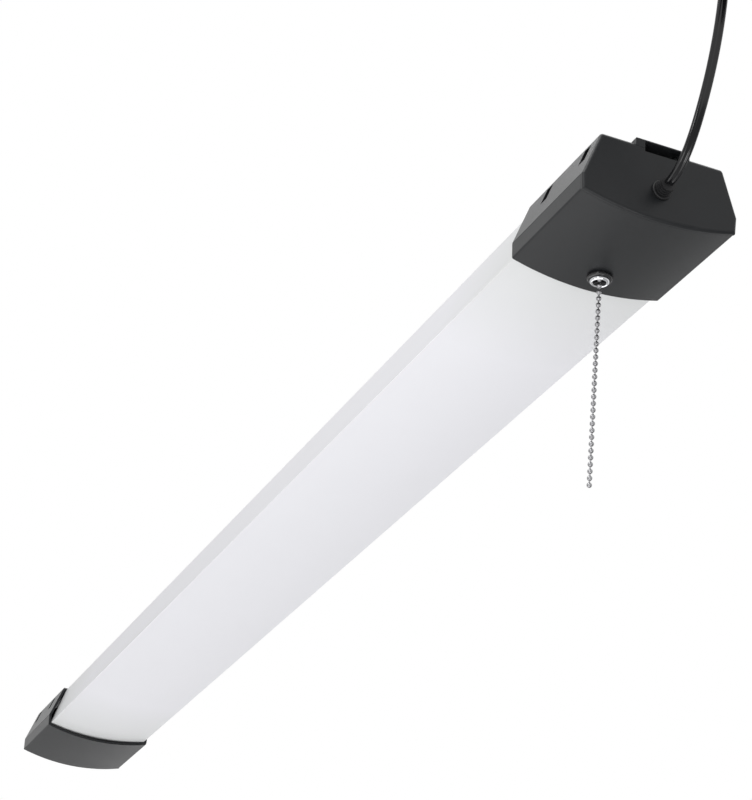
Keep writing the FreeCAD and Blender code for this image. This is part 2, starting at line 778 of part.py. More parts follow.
base = new_body("switch_base")
plan = rectangle(new_sketch(base, "plan", "XY_Plane", base_bottom), base_x, -depth,
                 base_x + base_length, depth)
feature(base, "Pad", plan, base_top - base_bottom)
room = rectangle(new_sketch(base, "room", "XZ_Plane", depth - s.base_wall),
                 drum_x - s.base_window, base_bottom + s.base_wall + s.base_lift,
                 drum_x + s.base_window, base_top - s.base_wall)
feature(base, "Pocket", room, depth * 2)
bore = polygons(new_sketch(base, "nipple_bore", "XY_Plane", base_bottom - 1),
                s.nipple_radius + s.thread_gap / 2, [(chain_x, 0)])
feature(base, "Pocket", bore, s.base_wall + s.base_lift + 1.2, back=True)
seat = circles(new_sketch(base, "axle_seat", "XZ_Plane", depth - s.base_wall - 1),
               s.axle_radius + s.running_gap, [(drum_x, drum_z)])
feature(base, "Pocket", seat, s.axle_seat + 1, back=True)
CONTACT_OFFSET = 6.9
CONTACT_SHEET = 0.4
CONTACT_Y = 4.8
CONTACT_WIDTH = 3
CONTACT_LOW = 5
TERMINAL_RISE = 4
SLOT_GAP = 0.2
s.take(globals())
slots = new_sketch(base, "contact_slots", "XY_Plane", base_top + 1)
for sign in (1, -1):
    low = drum_x + s.contact_offset * sign
    rectangle(slots, low - s.contact_sheet / 2 - s.slot_gap, s.contact_y - s.slot_gap,
              low + s.contact_sheet / 2 + s.slot_gap, s.contact_y + s.contact_width + s.slot_gap)
feature(base, "Pocket", slots, s.base_wall + 2)
place(base, 0, 0, 0)

cover = new_body("switch_cover")
plate = rectangle(new_sketch(cover, "plate", "XZ_Plane", -depth - s.seat_gap), base_x,
                  base_bottom, base_x + base_length, base_top)
feature(cover, "Pad", plate, s.cover_sheet, back=True)
seat = circles(new_sketch(cover, "axle_seat", "XZ_Plane", -depth + 1),
               s.axle_radius + s.running_gap, [(drum_x, drum_z)])
feature(cover, "Pocket", seat, s.axle_seat + 1)
place(cover, 0, 0, 0)

for sign, side in ((1, "near"), (-1, "mouth")):
    nodes.append(block(f"switch_contact_{side}",
                       drum_x + s.contact_offset * sign - s.contact_sheet / 2, s.contact_y,
                       drum_z - s.contact_low, s.contact_sheet, s.contact_width,
                       s.contact_low + s.base_cap + s.terminal_rise))

nodes.append(rod("drum_axle", drum_x, -depth + s.base_wall - s.axle_seat + s.running_gap,
                 drum_z, s.axle_radius,
                 depth * 2 - s.base_wall + s.axle_seat * 1.8, ((1, 0, 0), -90)))

drum = new_body("chain_drum")
bore = s.axle_radius * 1.09 + s.running_gap
low = -s.drum_half_width
for name, start, length, radius in (
        ("boss", low - s.boss_reach, s.boss_reach, s.hub_radius),
        ("low_flange", low, s.drum_flange_width, s.drum_flange),
        ("groove", low + s.drum_flange_width, -low * 2 - s.drum_flange_width * 2, s.drum_groove),
        ("high_flange", -low - s.drum_flange_width, s.drum_flange_width, s.drum_flange)):
    ring = polygons(new_sketch(drum, name, "XZ_Plane", -start), radius, [(0, 0)], 12)
    polygons(ring, bore, [(0, 0)])
    feature(drum, "Pad", ring, length, back=True)


flat_share = math.cos(math.pi / 8)


def bead(body):
    """A faceted bead: an eight-sided barrel bevelled at both ends down to the link's size."""
    plan = polygons(new_sketch(body, "bead", "XY_Plane"), s.bead_radius, [(0, 0)])
    feature(body, "Pad", plan, s.bead_radius * 2, both=True)
    bevelled(body, "bead_bevel", (s.bead_radius - s.link_radius) * flat_share, lambda spots: any(
        all(near(spot, "z", end) for spot in spots)
        for end in (s.bead_radius, -s.bead_radius)))


zero = Size(0, "0")
DRUM_BEAD_STEP = 49.4
DRUM_BEAD_COUNT = 3
s.take(globals())
held = polygons(new_sketch(drum, "bead", "XY_Plane"), s.bead_radius, [(-s.drum_radius, 0)])
held_bead = feature(drum, "Pad", held, s.bead_radius * 1.6, both=True)
ring = drum.newObject("PartDesign::PolarPattern", "chain_drum_ring")
ring.Originals = [held_bead]
ring.Axis = (datum(drum, "Y_Axis"), [""])
bind(ring, "Angle", s.drum_bead_step * (s.drum_bead_count - 1))
bind(ring, "Occurrences", s.drum_bead_count)
drum.Tip = ring
place(drum, drum_x, 0, drum_z)

ROTOR_WIDTH = 8.6
ROTOR_THICKNESS = 4.2
ROTOR_GAP = 0.5
ROTOR_BEVEL = 0.9
s.take(globals())
rotor = new_body("contact_rotor")
wide = s.rotor_width / 2
plan = rectangle(new_sketch(rotor, "plan", "XZ_Plane"), -wide, -wide, wide, wide)
feature(rotor, "Pad", plan, s.rotor_thickness, back=True)
bevelled(rotor, "bevel", s.rotor_bevel, lambda ends: abs(ends[0].x - ends[1].x) < 1e-3
         and abs(ends[0].z - ends[1].z) < 1e-3)
bore = polygons(new_sketch(rotor, "bore", "XZ_Plane"), bore, [(0, 0)])
feature(rotor, "Pocket", bore, s.rotor_thickness * 4, both=True)
place(rotor, drum_x, s.drum_half_width + s.rotor_gap, drum_z)

nipple = new_body("switch_nipple")
sleeve = polygons(new_sketch(nipple, "sleeve", "XY_Plane", nut_bottom), s.nipple_radius, [(0, 0)])
feature(nipple, "Pad", sleeve, base_bottom + s.base_wall + s.base_lift - nut_bottom)
bore = polygons(new_sketch(nipple, "bore", "XY_Plane", nut_bottom - 1),
                s.ferrule_shank + s.thread_gap / 2, [(0, 0)])
feature(nipple, "Pocket", bore, s.housing_height, back=True)
place(nipple, chain_x, 0, 0)

nut = new_body("nipple_nut")
NUT_CHAMFER = 0.8
s.take(globals())
profile = outline(new_sketch(nut, "profile", "XZ_Plane"), [
    (0, nut_bottom), (s.nut_radius - s.nut_chamfer, nut_bottom),
    (s.nut_radius, nut_bottom + s.nut_chamfer), (s.nut_radius, nut_top), (0, nut_top)])
revolve(nut, profile, "V_Axis")
bore = polygons(new_sketch(nut, "bore", "XY_Plane", nut_bottom - 1),
                s.nipple_radius + s.thread_gap / 2, [(0, 0)])
feature(nut, "Pocket", bore, s.nut_height + 2, back=True)
place(nut, chain_x, 0, 0)

ferrule = new_body("bell_ferrule")
FERRULE_NECK = 4.9
FERRULE_RIM = 0.7
FERRULE_SHANK_LENGTH = 7
s.take(globals())
profile = outline(new_sketch(ferrule, "profile", "XZ_Plane"), [
    (s.ferrule_mouth, ferrule_top - s.ferrule_rim), (s.ferrule_mouth, ferrule_bottom),
    (s.ferrule_radius, ferrule_bottom), (s.ferrule_radius, ferrule_bottom + s.ferrule_rim),
    (s.ferrule_neck, ferrule_top), (s.ferrule_bore * 1.2, ferrule_top),
    (s.ferrule_bore * 1.2, ferrule_top - s.ferrule_rim)])
revolve(ferrule, profile, "V_Axis")
shank = polygons(new_sketch(ferrule, "shank", "XY_Plane", ferrule_top), s.ferrule_shank, [(0, 0)])
polygons(shank, s.ferrule_bore * 1.2, [(0, 0)])
feature(ferrule, "Pad", shank, s.ferrule_shank_length)
place(ferrule, chain_x, 0, 0)

# --- ball chain: a piece in the switch, one bead that swivels, and the length that hangs ------
CHAIN_BEADS = 30
s.take(globals())


def bead_string(label, count, low_bead_z, tail=False):
    """Beads a pitch apart from the lowest up, joined by links; the top link stops just under
    the next bead, and so does a tail below the lowest."""
    body = new_body(label)
    bead(body)
    link = polygons(new_sketch(body, "link", "XY_Plane"), s.link_radius, [(0, 0)])
    feature(body, "Pad", link, s.bead_pitch)
    row_of(body, [], "Z_Axis", s.bead_pitch * (count - 1), count)
    trim = rectangle(new_sketch(body, "trim", "XY_Plane", s.bead_pitch * count
                                - s.bead_radius - s.link_gap), -2, -2, 2, 2)
    feature(body, "Pocket", trim, s.bead_pitch, back=True)
    if tail:
        end = polygons(new_sketch(body, "tail", "XY_Plane"), s.link_radius, [(0, 0)])
        feature(body, "Pad", end, s.bead_pitch - s.bead_radius - s.link_gap, back=True)
    return place(body, chain_x, 0, low_bead_z)


SWITCH_CHAIN_BEADS = 4
s.take(globals())
bead_string("switch_chain", s.switch_chain_beads, pivot_z + s.bead_pitch, True)
bead_string("pull_chain", s.chain_beads, pivot_z - s.bead_pitch * s.chain_beads)
swivel = new_body("swivel_bead")
bead(swivel)
place(swivel, chain_x, 0, pivot_z)

# --- strain relief -------------------------------------------------------------------------
RELIEF_INSIDE = 8
RELIEF_BARB = 0.8
RELIEF_FLANGE = 6.2
RELIEF_FLANGE_DEPTH = 1.6
RELIEF_ROOT = 5.2
RELIEF_ROOT_LENGTH = 4
RELIEF_TIP = 4.4
RELIEF_BEVEL = 0.6
RELIEF_LENGTH = 9
RELIEF_CATCH = 2.5
CORD_WIDTH = 6
CORD_THICKNESS = 3
CORD_GAP = 0.2
s.take(globals())
relief = new_body("strain_relief")
profile = outline(new_sketch(relief, "profile", "XZ_Plane"), [
    (s.seat_gap, 0), (s.relief_flange_depth, 0), (s.relief_flange_depth, s.relief_flange),
    (s.seat_gap, s.relief_flange)])
revolve(relief, profile, "H_Axis")
tail = polygons(new_sketch(relief, "tail", "YZ_Plane", s.relief_flange_depth), s.relief_root,
                [(0, 0)], 12)
feature(relief, "Pad", tail, s.relief_root_length)
tip = polygons(new_sketch(relief, "tip", "YZ_Plane", s.relief_flange_depth), s.relief_tip,
               [(0, 0)], 12)
feature(relief, "Pad", tip, s.relief_length - s.relief_flange_depth)
bevelled(relief, "tip_bevel", s.relief_bevel, lambda ends: all(
    near(end, "x", s.relief_length) for end in ends))
stem = polygons(new_sketch(relief, "stem", "YZ_Plane", s.seat_gap),
                s.relief_hole_radius - s.seat_gap, [(0, 0)])
feature(relief, "Pad", stem, s.end_wall + s.relief_inside, back=True)
catch = polygons(new_sketch(relief, "catch", "YZ_Plane", -s.end_wall - s.fit_gap),
                 s.relief_hole_radius + s.relief_barb, [(0, 0)])
feature(relief, "Pad", catch, s.relief_catch, back=True)
slot = rectangle(new_sketch(relief, "slot", "YZ_Plane"), -s.cord_width / 2 - s.cord_gap,
                 -s.cord_thickness / 2 - s.cord_gap, s.cord_width / 2 + s.cord_gap,
                 s.cord_thickness / 2 + s.cord_gap)
feature(relief, "Pocket", slot, s.relief_inside * 4, both=True)
place(relief, half, 0, cord_z)


# --- cord, coil and leads: straight runs joined by tangent arcs -------------------------------
arc_share = 0.45


def bend_path(points):
    """Edges along points, each corner rounded as widely as its two runs allow."""
    edges, radii, at = [], [], points[0]
    for before, corner, after in zip(points, points[1:], points[2:]):
        back = (before - corner).normalize()
        ahead = (after - corner).normalize()
        turn = math.pi - back.getAngle(ahead)
        reach = arc_share * min((before - corner).Length, (after - corner).Length)
        radius = reach / math.tan(turn / 2)
        start, end = corner + back * reach, corner + ahead * reach
        inward = (back + ahead).normalize()
        middle = corner + inward * (radius / math.cos(turn / 2) - radius)
        edges += [Part.LineSegment(at, start).toShape(), Part.Arc(start, middle, end).toShape()]
        radii.append(round(radius, 1))
        at = end
    edges.append(Part.LineSegment(at, points[-1]).toShape())
    return edges, radii


def swept(label, edges, section_corners, across, mitred=False):
    """Sweeps a flat section along joined edges, its own first direction held to across. A
    mitred sweep keeps its corners."""
    path = Part.Wire(edges)
    start = edges[0].valueAt(edges[0].FirstParameter)
    along = edges[0].tangentAt(edges[0].FirstParameter)
    up = along.cross(across)
    ring = [start + across * x + up * y for x, y in section_corners]
    section = Part.makePolygon(ring + ring[:1])
    shape = path.makePipeShell([section], True, False, 1 if mitred else 0)
    area = Part.Face(section).Area
    print(label, "length", round(path.Length, 1), "volume", round(shape.Volume, 1),
          "section times length", round(area * path.Length, 1))
    return shape


def flat_section(width, thickness):
    """Six corners of a flat twin cord, its two narrow edges brought to a ridge."""
    side, rise = width / 2, thickness / 2
    return [(side, 0), (side * 0.66, rise), (-side * 0.66, rise),
            (-side, 0), (-side * 0.66, -rise), (side * 0.66, -rise)]


exit_point = V(half.value, 0, cord_z.value)
CORD_ROUTE = [(-2.5, 0), (13, 0), (27, 7.6), (37.5, 19.8), (45.8, 33.6), (52.6, 47.2),
              (58.2, 61.6), (63, 78), (66.8, 98), (66.8, 118)]
cord_points = [exit_point + V(x, 0, z) for x, z in CORD_ROUTE]
edges, radii = bend_path(cord_points)
print("cord bend radii", radii)
cord_shape = flat_section(s.cord_width.value, s.cord_thickness.value)
solid_node("supply_cord", swept("supply_cord", edges, cord_shape, V(0, 1, 0)))

COIL_TURNS = 6
COIL_OUTER_RADIUS = 40.3
COIL_PITCH = 3.6
COIL_LAYER = 7
COIL_LEAD = 6
COIL_TAIL = 24
s.take(globals())
coil_start = cord_points[-1] + V(0, 0, s.coil_lead.value)
coil_middle = coil_start + V(s.coil_outer_radius.value, 0, 0)
half_turns = s.coil_turns.value / 2
climb_share = 0.25
coil_steps = 24


def coil_spot(turn):
    """A point of the coil's centre line: in over half the turns, a layer up, and out again."""
    inward = half_turns - abs(turn - half_turns)
    radius = s.coil_outer_radius.value - s.coil_pitch.value * inward
    climb = min(max((turn - half_turns + climb_share) / (2 * climb_share), 0), 1)
    angle = math.pi - 2 * math.pi * turn
    return coil_middle + V(radius * math.cos(angle),
                           s.coil_layer.value * climb * climb * (3 - 2 * climb),
                           radius * math.sin(angle))


coil_turns = int(s.coil_turns.value)
coil_spots = [coil_spot(step / coil_steps) for step in range(coil_turns * coil_steps + 1)]
tail_end = coil_spots[-1] + V(0, 0, s.coil_tail.value)
coil_edges = Part.makePolygon([cord_points[-1]] + coil_spots + [tail_end]).Edges
solid_node("cord_coil", swept("cord_coil", coil_edges, cord_shape, V(0, 1, 0), True))
least = min((one - other).Length for number, one in enumerate(coil_spots)
            for other in coil_spots[number + coil_steps // 2:])
print("coil: least distance between centre lines", round(least, 2), "so the least gap is",
      round(least - s.cord_thickness.value, 2))

# --- coil tie and plug -------------------------------------------------------------------------
TIE_WIDTH = 6
TIE_SHEET = 1
TIE_GAP = 0.9
PLUG_LENGTH = 30
PLUG_WIDTH = 25
PLUG_DEPTH = 14
PLUG_NECK = 7
PLUG_GRIP = 10
PLUG_SHOULDER = 3.5
PLUG_NECK_WIDTH = 8.4
PLUG_NECK_DEPTH = 5.4
BLADE_WIDTH = 6.3
BLADE_THICKNESS = 1.5
BLADE_LENGTH = 17
BLADE_PITCH = 12.7
BLADE_HOLE_RADIUS = 1.5
BLADE_HOLE_INSET = 4
s.take(globals())
coil_x = coil_middle.x
coil_z = coil_middle.z
bundle_in = s.coil_outer_radius - s.coil_pitch * (half_turns - 0.5) - s.cord_thickness / 2 \
    - s.tie_gap
bundle_out = s.coil_outer_radius - s.coil_pitch * 0.5 + s.cord_thickness / 2 + s.tie_gap
bundle_y = -s.cord_width / 2 - s.tie_gap


def tie_block(label, grow):
    return block(label, bundle_in - grow + coil_x, bundle_y - grow, -s.tie_width / 2 + coil_z,
                 bundle_out - bundle_in + grow * 2,
                 s.coil_layer + s.cord_width + s.tie_gap * 2 + grow * 2, s.tie_width)


node_of("coil_tie", "Part::Cut", Base=tie_block("tie_outer", s.tie_sheet),
        Tool=tie_block("tie_inner", zero))

plug = new_body("plug_body")
plug_z = zero + tail_end.z


def plug_section(name, height, width, depth):
    """A flattened eight-cornered section of the plug, square to the cord."""
    y, x = width / 2, depth / 2
    cut = depth * 0.22
    return outline(new_sketch(plug, name, "XY_Plane", height), [
        (x - cut, -y), (x, cut - y), (x, y - cut), (x - cut, y),
        (cut - x, y), (-x, y - cut), (-x, cut - y), (cut - x, -y)])


neck = plug_section("neck", zero, s.plug_neck_width, s.plug_neck_depth)
feature(plug, "Pad", neck, s.plug_grip)
grip = plug_section("grip", s.plug_neck, s.plug_width, s.plug_depth)
feature(plug, "Pad", grip, s.plug_length - s.plug_neck)
bevelled(plug, "shoulder", s.plug_shoulder, lambda spots: all(
    near(spot, "z", s.plug_neck) for spot in spots) and max(
    abs(spot.y) for spot in spots) > s.plug_neck_width.value)
place(plug, zero + tail_end.x, s.coil_layer, plug_z)

blades = new_body("plug_blades")
plan = new_sketch(blades, "plan", "XY_Plane", s.plug_length)
for sign in (1, -1):
    low = s.blade_pitch / 2 * sign - s.blade_thickness / 2
    rectangle(plan, -s.blade_width / 2, low, s.blade_width / 2, low + s.blade_thickness)
feature(blades, "Pad", plan, s.blade_length)
hole = polygons(new_sketch(blades, "hole", "XZ_Plane"), s.blade_hole_radius,
                [(0, s.plug_length + s.blade_length - s.blade_hole_inset)])
feature(blades, "Pocket", hole, s.plug_width, both=True)
place(blades, zero + tail_end.x, s.coil_layer, plug_z)

# --- wiring inside the near housing ------------------------------------------------------------
LEAD_RADIUS = 1
LED_LEAD_RADIUS = 0.8
SPRING_TURNS = 3
SPRING_RADIUS = 3.6
SPRING_PITCH = 1.15
SPRING_WIRE = 0.6
s.take(globals())


def spot(x, y, z):
    return V(*(Size.of(value).value for value in (x, y, z)))


def round_section(radius, corners):
    return [(radius * math.cos(2 * math.pi * k / corners),
             radius * math.sin(2 * math.pi * k / corners)) for k in range(corners)]


bend_chords = 3


def lead(label, points, radius):
    """A round lead along points, each bend made of a few mitred lengths."""
    edges, radii = bend_path(points)
    along = (points[1] - points[0]).normalize()
    across = along.cross(V(0, 0, 1)).normalize()
    run = [points[0]]
    for bend in edges[1::2]:
        run += bend.discretize(Number=bend_chords + 1)
    print(label, "bend radii", radii)
    return swept(label, Part.makePolygon(run + [points[-1]]).Edges,
                 round_section(radius.value, 6), across, True)


lead_y = s.cord_width / 4
start_x = half - s.cord_gap + CORD_ROUTE[0][0]
block_x = driver_x + s.driver_length
block_z = under - s.terminal_height * 0.7
side_y = -driver_y + 2.5
low_z = cord_z - 2.4
tab_y = s.contact_y + s.contact_width / 2
tab_z = base_top + s.terminal_rise / 2
near_tab = drum_x + s.contact_offset + s.contact_sheet / 2
mouth_tab = drum_x - s.contact_offset + s.contact_sheet / 2
base_end = base_x + base_length
neutral = lead("neutral lead", [
    spot(start_x, lead_y, cord_z), spot(block_x + 3.5, lead_y, cord_z),
    spot(block_x + 3.5, s.terminal_y - 2.5, block_z),
    spot(block_x + s.seat_gap, s.terminal_y - 2.5, block_z)], s.lead_radius)
live = lead("live lead", [
    spot(start_x, -lead_y, cord_z), spot(block_x + 3, -lead_y, cord_z),
    spot(block_x - 2, side_y, low_z), spot(driver_x + s.driver_length / 2, side_y - 0.5, low_z),
    spot(driver_x + 4.5, side_y, low_z + 1), spot(base_end + 1.5, side_y + 8.5, tab_z),
    spot(base_end + 1.5, tab_y, tab_z), spot(near_tab + s.seat_gap, tab_y, tab_z)],
    s.lead_radius)
solid_node("supply_leads", Part.makeCompound([neutral, live]))
solid_node("switch_lead", lead("switch lead", [
    spot(mouth_tab + s.seat_gap, tab_y, tab_z), spot(drum_x + 1, tab_y, tab_z),
    spot(drum_x + 7, s.base_half_depth + 4, tab_z - 0.8), spot(driver_x + 8, driver_y - 2, low_z + 5),
    spot(driver_x + 24, driver_y - 1.5, low_z + 6),
    spot(block_x - s.terminal_length / 2, driver_y - 0.5, block_z),
    spot(block_x - s.terminal_length / 2, s.terminal_y + s.terminal_width / 2 + s.seat_gap,
         block_z)], s.lead_radius))
plug_side = driver_x + s.connector_x - s.connector_length / 2 - s.seat_gap
plug_in_z = under - s.connector_height / 2
pair = []
for sign, shift in ((-1, -2), (1, 2)):
    from_y = s.connector_y + shift
    pair.append(lead("board lead", [
        spot(plug_side, from_y, plug_in_z),
        spot(plug_side - 7.5, from_y + (s.board_y * sign - from_y) * 0.03, plug_in_z + 0.6),
        spot(board_end + 16, from_y + (s.board_y * sign - from_y) * 0.65, board_top - 6),
        spot(board_end + 7, s.board_y * sign, board_top - 2.2),
        spot(board_end + s.seat_gap * 2, s.board_y * sign,
             board_top - s.led_lead_radius - s.seat_gap)], s.led_lead_radius))
solid_node("led_leads", Part.makeCompound(pair))


def spring_spot(turn):
    """A point on the return spring, which is wound round the drum's boss."""
    angle = 2 * math.pi * turn
    return spot(drum_x, -s.drum_half_width - s.spring_wire - s.spring_pitch * turn, drum_z) \
        + V(s.spring_radius.value * math.cos(angle), 0, s.spring_radius.value * math.sin(angle))


spring_steps = 12
spring_spots = [spring_spot(step / spring_steps)
                for step in range(int(s.spring_turns.value) * spring_steps + 1)]
solid_node("return_spring", swept("return_spring", Part.makePolygon(spring_spots).Edges,
                                  round_section(s.spring_wire.value / 2, 4), V(1, 0, 0), True))
print("spring: least gap between turns", round(s.spring_pitch.value - s.spring_wire.value, 2))

# --- write one file per node ---------------------------------------------------------------
doc.recompute()
for thing in doc.Objects:
    if "Invalid" in thing.State or "Error" in thing.State:
        raise RuntimeError(f"{thing.Label} failed: {thing.State}")
os.makedirs("parts", exist_ok=True)
for piece in nodes:
    if piece.Shape.isNull() or not piece.Shape.isValid():
        raise RuntimeError(f"{piece.Label} has no valid shape")
    piece.Shape.exportStep(f"parts/{piece.Label}.step")
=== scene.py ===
"""A four-foot hanging shop light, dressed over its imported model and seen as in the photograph."""
import math

import bmesh
import bpy
from mathutils import Matrix, Vector


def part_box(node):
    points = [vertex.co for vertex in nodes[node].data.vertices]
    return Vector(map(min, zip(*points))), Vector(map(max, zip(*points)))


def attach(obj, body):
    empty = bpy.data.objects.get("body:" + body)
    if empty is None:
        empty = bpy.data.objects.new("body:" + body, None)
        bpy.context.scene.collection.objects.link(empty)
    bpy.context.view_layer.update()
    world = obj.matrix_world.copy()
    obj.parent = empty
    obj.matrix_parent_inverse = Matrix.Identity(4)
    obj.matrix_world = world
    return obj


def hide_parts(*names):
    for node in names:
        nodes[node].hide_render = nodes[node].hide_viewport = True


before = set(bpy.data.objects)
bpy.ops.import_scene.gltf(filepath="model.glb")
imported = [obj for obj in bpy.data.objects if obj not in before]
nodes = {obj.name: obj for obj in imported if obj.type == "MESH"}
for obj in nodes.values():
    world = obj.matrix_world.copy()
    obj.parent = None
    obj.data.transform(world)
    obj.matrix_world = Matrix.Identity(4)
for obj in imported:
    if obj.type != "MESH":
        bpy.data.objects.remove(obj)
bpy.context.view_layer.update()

# --- Camera ------------------------------------------------------------------------------------
# The photograph was taken from below the light's cord end, a little to its near side, with a
# long lens. The light runs away to the lower left, and the cord leaves by the top edge.


def placed(name, data):
    """A new object of the given data, put in the scene."""
    made = bpy.data.objects.new(name, data)
    bpy.context.scene.collection.objects.link(made)
    return made


view_data = bpy.data.cameras.new("photograph_view")
view_data.lens = 106.75
view_data.sensor_width = 36
view_data.clip_start = 0.05
view_data.clip_end = 50
view = placed("photograph_view", view_data)
bpy.context.scene.camera = view
view_spot = Vector((1.6414, -0.5405, -0.7507))
view_right = Vector((0.3837, 0.9195, 0.0858)).normalized()
view_back = Vector((0.8398, -0.3088, -0.4465)).normalized()
view_up = view_back.cross(view_right)
view.matrix_world = Matrix([[view_right[i], view_up[i], view_back[i], view_spot[i]]
                            for i in range(3)] + [[0, 0, 0, 1]])

# --- Supply cord -------------------------------------------------------------------------------
# A flat twin cord in a glossy black jacket, 6 by 3 mm, with a groove between its two cores. It
# leaves the end wall, turns up past the light's roof, and is wound for storage just above.
cord_exit = Vector((0.6095, 0, -0.0236))
cord_route = [(-0.0025, 0), (0.013, 0), (0.027, 0.0076), (0.0375, 0.0198), (0.0458, 0.0336),
              (0.0526, 0.0472), (0.0582, 0.0616), (0.063, 0.078), (0.0668, 0.098),
              (0.0668, 0.118)]
cord_points = [cord_exit + Vector((x, 0, z)) for x, z in cord_route]
coil_turns, coil_steps = 6, 24
half_turns = coil_turns / 2
coil_outer, coil_pitch, coil_layer = 0.0403, 0.0036, 0.007
coil_lead, coil_tail = 0.006, 0.024
climb_share = 0.25
coil_start = cord_points[-1] + Vector((0, 0, coil_lead))
coil_middle = coil_start + Vector((coil_outer, 0, 0))


def coil_spot(turn):
    """A point of the coil's centre line: in over half the turns, a layer up, and out again."""
    inward = half_turns - abs(turn - half_turns)
    radius = coil_outer - coil_pitch * inward
    climb = min(max((turn - half_turns + climb_share) / (2 * climb_share), 0), 1)
    angle = math.pi - 2 * math.pi * turn
    return coil_middle + Vector((radius * math.cos(angle),
                                 coil_layer * climb * climb * (3 - 2 * climb),
                                 radius * math.sin(angle)))


cord_points += [coil_spot(step / coil_steps) for step in range(coil_turns * coil_steps + 1)]
cord_points.append(cord_points[-1] + Vector((0, 0, coil_tail)))

line_data = bpy.data.curves.new("cord_line", "CURVE")
line_data.dimensions = "3D"
line = line_data.splines.new("NURBS")
line.points.add(len(cord_points) - 1)
for point, spot in zip(line.points, cord_points):
    point.co = (*spot, 1)
line.order_u = 3
line.use_endpoint_u = True
line.resolution_u = 5
line_object = placed("cord_line", line_data)
traced = bpy.data.meshes.new_from_object(line_object)
cord_line = [vertex.co.copy() for vertex in traced.vertices]
bpy.data.objects.remove(line_object)

# Each core's side of the jacket is a half round, and the web between them is a third thinner.
core_radius, core_offset, web_half = 0.0015, 0.0015, 0.00095
core_corners, core_sweep = 9, 116
jacket = []
for side in (1, -1):
    for corner in range(core_corners):
        angle = math.radians(core_sweep * (2 * corner / (core_corners - 1) - 1))
        jacket.append((side * (core_offset + core_radius * math.cos(angle)),
                       side * core_radius * math.sin(angle)))
    jacket.append((0, side * web_half))
cord_mesh = bmesh.new()
rings = []
for number, spot in enumerate(cord_line):
    ahead = cord_line[min(number + 1, len(cord_line) - 1)]
    behind = cord_line[max(number - 1, 0)]
    along = (ahead - behind).normalized()
    across = (Vector((0, 1, 0)) - along * along.y).normalized()
    thick = along.cross(across)
    rings.append([cord_mesh.verts.new(spot + across * x + thick * y) for x, y in jacket])
for ring, following in zip(rings, rings[1:]):
    for corner in range(len(jacket)):
        after = (corner + 1) % len(jacket)
        cord_mesh.faces.new((ring[corner], ring[after], following[after], following[corner]))
for ring in (rings[0], rings[-1]):
    cord_mesh.faces.new(ring)
bmesh.ops.recalc_face_normals(cord_mesh, faces=cord_mesh.faces)
cord_data = bpy.data.meshes.new("twin_cord")
cord_mesh.to_mesh(cord_data)
cord_mesh.free()
cord = placed("twin_cord", cord_data)
cord_data.shade_smooth()


def surface(name, colour, roughness, **sockets):
    """A new procedural material with its plain values set on the shader."""
    made = bpy.data.materials.new(name)
    made.use_nodes = True
    shader = made.node_tree.nodes["Principled BSDF"]
    shader.inputs["Base Color"].default_value = (*colour, 1)
    shader.inputs["Roughness"].default_value = roughness
    for socket, value in sockets.items():
        shader.inputs[socket.replace("_", " ")].default_value = value
    return made, made.node_tree, shader


def reckoned(tree, operation, *terms):
    """What a Math node gives for its terms, each a plain number or another node's output."""
    node = tree.nodes.new("ShaderNodeMath")
    node.operation = operation
    for socket, term in zip(node.inputs, terms):
        if isinstance(term, bpy.types.NodeSocket):
            tree.links.new(term, socket)
        else:
            socket.default_value = term
    return node.outputs[0]


def noise(tree, place, scale, detail):
    """The value of a noise over the given places."""
    node = tree.nodes.new("ShaderNodeTexNoise")
    tree.links.new(place, node.inputs["Vector"])
    if isinstance(scale, bpy.types.NodeSocket):
        tree.links.new(scale, node.inputs["Scale"])
    else:
        node.inputs["Scale"].default_value = scale
    node.inputs["Detail"].default_value = detail
    return node.outputs["Fac"]


drift_scale, grain_height = 23, 0.0002


def grain_group():
    """Fine moulded or painted grain: a colour that drifts a little, a roughness and a normal."""
    group = bpy.data.node_groups.new("fine_grain", "ShaderNodeTree")
    for label, kind, value in (("Colour", "NodeSocketColor", (0.5, 0.5, 0.5, 1)),
                               ("Scale", "NodeSocketFloat", 900),
                               ("Depth", "NodeSocketFloat", 0.2),
                               ("Roughness", "NodeSocketFloat", 0.5),
                               ("Drift", "NodeSocketFloat", 0.08)):
        socket = group.interface.new_socket(label, in_out="INPUT", socket_type=kind)
        socket.default_value = value
    for label, kind in (("Colour", "NodeSocketColor"), ("Roughness", "NodeSocketFloat"),
                        ("Normal", "NodeSocketVector")):
        group.interface.new_socket(label, in_out="OUTPUT", socket_type=kind)
    join = group.links.new
    given = group.nodes.new("NodeGroupInput").outputs
    out = group.nodes.new("NodeGroupOutput").inputs
    place = group.nodes.new("ShaderNodeTexCoord").outputs["Object"]
    fine = noise(group, place, given["Scale"], detail=3)
    broad = noise(group, place, drift_scale, detail=4)
    # The drift swings evenly about one, and both the colour and the roughness follow it.
    lowest = reckoned(group, "MULTIPLY_ADD", given["Drift"], -0.5, 1)
    swing = reckoned(group, "MULTIPLY_ADD", broad, given["Drift"], lowest)
    tinted = group.nodes.new("ShaderNodeVectorMath")
    tinted.operation = "SCALE"
    join(given["Colour"], tinted.inputs[0])
    join(swing, tinted.inputs["Scale"])
    join(tinted.outputs[0], out["Colour"])
    join(reckoned(group, "MULTIPLY", given["Roughness"], swing), out["Roughness"])
    bump = group.nodes.new("ShaderNodeBump")
    bump.inputs["Distance"].default_value = grain_height
    join(given["Depth"], bump.inputs["Strength"])
    join(fine, bump.inputs["Height"])
    join(bump.outputs["Normal"], out["Normal"])
    return group


fine_grain = grain_group()


